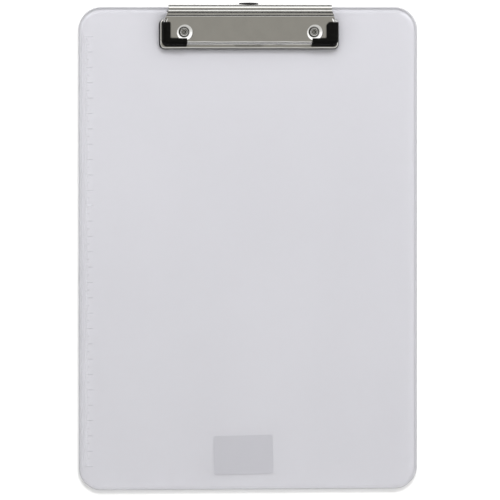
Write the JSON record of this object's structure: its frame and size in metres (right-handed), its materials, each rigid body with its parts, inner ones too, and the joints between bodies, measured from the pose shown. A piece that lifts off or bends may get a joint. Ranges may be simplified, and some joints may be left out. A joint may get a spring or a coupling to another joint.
{
  "type": "clipboard",
  "caption": "Letter-size translucent plastic clipboard with a moulded ruler edge, a low-profile sprung metal clip with rubber corner grips, and a pull-out hanging tab.",
  "frame": {"origin": "centre of the board's flat back face", "axes": "+X to the right seen from the front, +Y along the board towards the clip, +Z out of the writing face"},
  "size_m": [0.222, 0.3177, 0.0117],
  "materials": {
    "clear_plastic": "translucent, finely frosted",
    "label_paper": "matte",
    "plated_steel": "polished",
    "pin_steel": "satin",
    "rivet_steel": "polished",
    "spring_steel": "satin",
    "black_rubber": "matte",
    "black_plastic": "satin"
  },
  "bodies": {
    "base": {"board": "clear_plastic", "back_label": "label_paper", "clip_base": "plated_steel", "hinge_pin": "pin_steel", "rivet_left": "rivet_steel", "rivet_right": "rivet_steel", "torsion_spring_left": "spring_steel", "torsion_spring_right": "spring_steel"},
    "jaw": {"clip_jaw": "plated_steel", "corner_grip_left": "black_rubber", "corner_grip_right": "black_rubber"},
    "tab": {"hanging_tab": "black_plastic"}
  },
  "joints": [
    {"name": "jaw_hinge", "type": "hinge", "parent": "base", "child": "jaw", "pos_m": [0.0004, 0.14945, 0.00645], "axis": [-1, 0, 0], "range_deg": [0, 28], "stiffness_Nm_per_rad": 0.27, "springref_deg": -45.84, "deforming": ["torsion_spring_left", "torsion_spring_right"]},
    {"name": "tab_slide", "type": "slide", "parent": "base", "child": "tab", "axis": [0, 1, 0], "range_m": [0, 0.015]}
  ]
}
